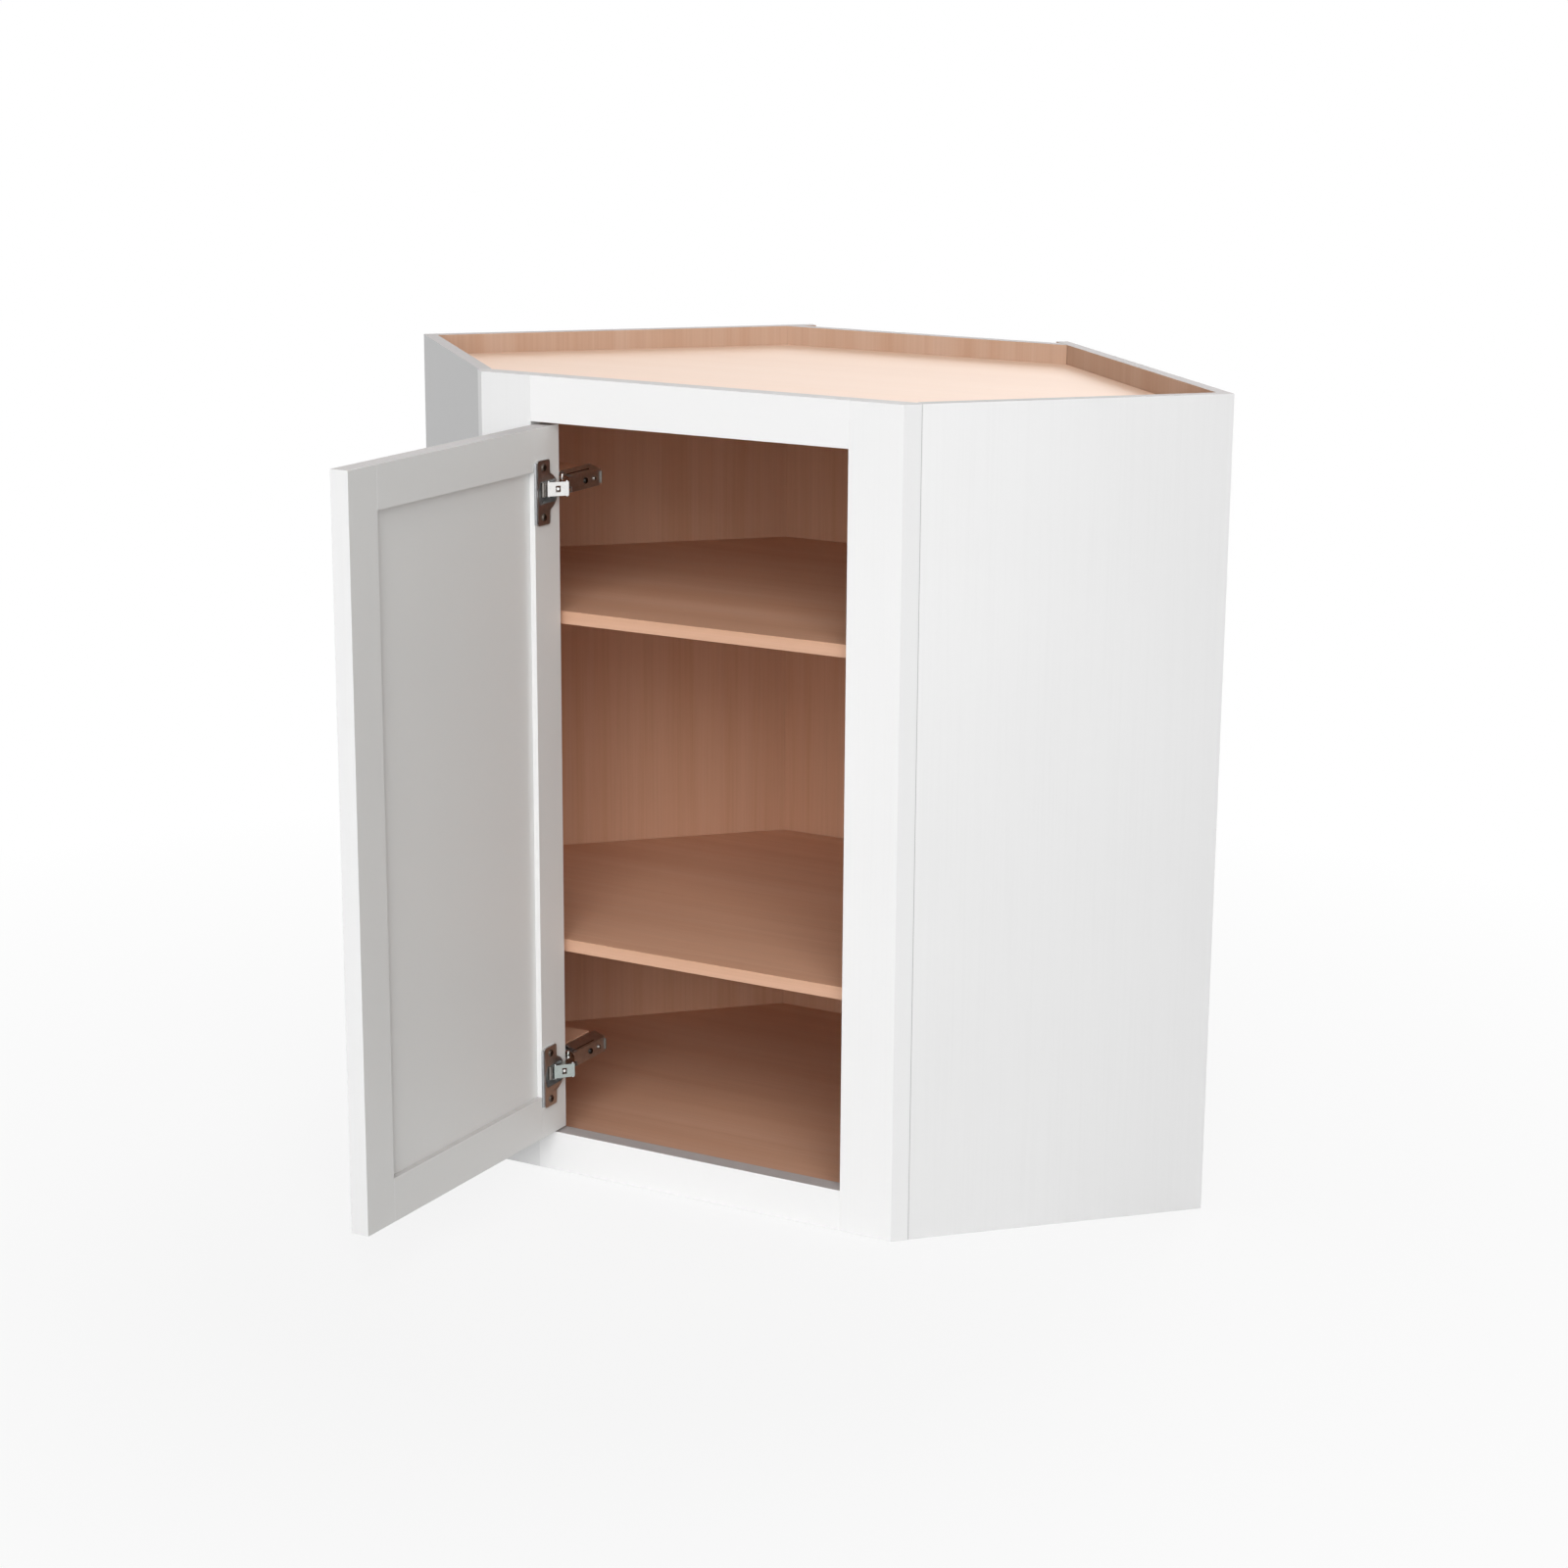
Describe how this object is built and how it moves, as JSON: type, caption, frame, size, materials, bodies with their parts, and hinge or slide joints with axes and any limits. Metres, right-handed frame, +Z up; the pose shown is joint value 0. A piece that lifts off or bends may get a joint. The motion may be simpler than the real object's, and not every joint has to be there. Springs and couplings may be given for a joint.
{
  "type": "corner wall cabinet",
  "caption": "Diagonal corner wall cabinet with a white framed front, an inset panel door on concealed hinges, shelves and a veneered interior.",
  "frame": {"origin": "on the bottom plane, in the middle of the face frame's front edge", "axes": "+Z up, +Y from the front towards the room's corner, +X to the cabinet's right as seen from the front"},
  "size_m": [0.8614, 0.8104, 0.762],
  "materials": {
    "face_frame_paint": "satin white paint on solid wood",
    "side_paint": "satin white painted panel",
    "door_paint": "satin white paint on solid wood",
    "box_veneer": "clear-coated pale veneer plywood",
    "shelf_veneer": "clear-coated pale veneer plywood",
    "hinge_block_wood": "bare wood",
    "hinge_nickel": "polished nickel plate",
    "link_steel": "satin nickel plate",
    "screw_steel": "zinc-plated steel",
    "shelf_pin_plastic": "moulded plastic"
  },
  "bodies": {
    "cabinet": {"bottom_panel": "box_veneer", "corner_back_panel": "box_veneer", "frame_bottom_rail": "face_frame_paint", "frame_left_stile": "face_frame_paint", "frame_right_stile": "face_frame_paint", "frame_top_rail": "face_frame_paint", "left_back_panel": "box_veneer", "left_end_panel": "side_paint", "lower_arm_adjusting_screw": "screw_steel", "lower_arm_fixing_screw": "screw_steel", "lower_hinge_arm": "hinge_nickel", "lower_hinge_block": "hinge_block_wood", "lower_mounting_plate": "hinge_nickel", "lower_pin_left_front": "shelf_pin_plastic", "lower_pin_left_rear": "shelf_pin_plastic", "lower_pin_right_front": "shelf_pin_plastic", "lower_pin_right_rear": "shelf_pin_plastic", "lower_plate_screw_front": "screw_steel", "lower_plate_screw_rear": "screw_steel", "right_back_panel": "box_veneer", "right_end_panel": "side_paint", "top_panel": "box_veneer", "upper_arm_adjusting_screw": "screw_steel", "upper_arm_fixing_screw": "screw_steel", "upper_hinge_arm": "hinge_nickel", "upper_hinge_block": "hinge_block_wood", "upper_mounting_plate": "hinge_nickel", "upper_pin_left_front": "shelf_pin_plastic", "upper_pin_left_rear": "shelf_pin_plastic", "upper_pin_right_front": "shelf_pin_plastic", "upper_pin_right_rear": "shelf_pin_plastic", "upper_plate_screw_front": "screw_steel", "upper_plate_screw_rear": "screw_steel"},
    "door": {"door_bottom_rail": "door_paint", "door_centre_panel": "door_paint", "door_hinge_stile": "door_paint", "door_latch_stile": "door_paint", "door_top_rail": "door_paint", "lower_cup_screw_bottom": "screw_steel", "lower_cup_screw_top": "screw_steel", "lower_hinge_cup": "hinge_nickel", "upper_cup_screw_bottom": "screw_steel", "upper_cup_screw_top": "screw_steel", "upper_hinge_cup": "hinge_nickel"},
    "upper_hinge_link": {"upper_inner_link": "link_steel", "upper_link_pin": "link_steel", "upper_outer_link": "link_steel"},
    "lower_hinge_link": {"lower_inner_link": "link_steel", "lower_link_pin": "link_steel", "lower_outer_link": "link_steel"},
    "upper_shelf": {"upper_shelf": "shelf_veneer"},
    "lower_shelf": {"lower_shelf": "shelf_veneer"}
  },
  "joints": [
    {"name": "door_swing", "type": "hinge", "parent": "cabinet", "child": "door", "pos_m": [-0.1531, 0.0065, 0.3795], "axis": [0, 0, 1], "range_deg": [0, 90]},
    {"name": "upper_link_turn", "type": "hinge", "parent": "cabinet", "child": "upper_hinge_link", "pos_m": [-0.147, 0.027, 0.6586], "axis": [0, 0, 1], "range_deg": [0, 76.5]},
    {"name": "lower_link_turn", "type": "hinge", "parent": "cabinet", "child": "lower_hinge_link", "pos_m": [-0.147, 0.027, 0.1009], "axis": [0, 0, 1], "range_deg": [0, 76.5]},
    {"name": "upper_shelf_lift", "type": "slide", "parent": "cabinet", "child": "upper_shelf", "axis": [0, 0, 1], "range_m": [0, 0.03]},
    {"name": "lower_shelf_lift", "type": "slide", "parent": "cabinet", "child": "lower_shelf", "axis": [0, 0, 1], "range_m": [0, 0.03]}
  ],
  "couplings": [
    {"joint": "upper_link_turn", "follows": "door_swing", "ratio": 0.85},
    {"joint": "lower_link_turn", "follows": "door_swing", "ratio": 0.85}
  ]
}
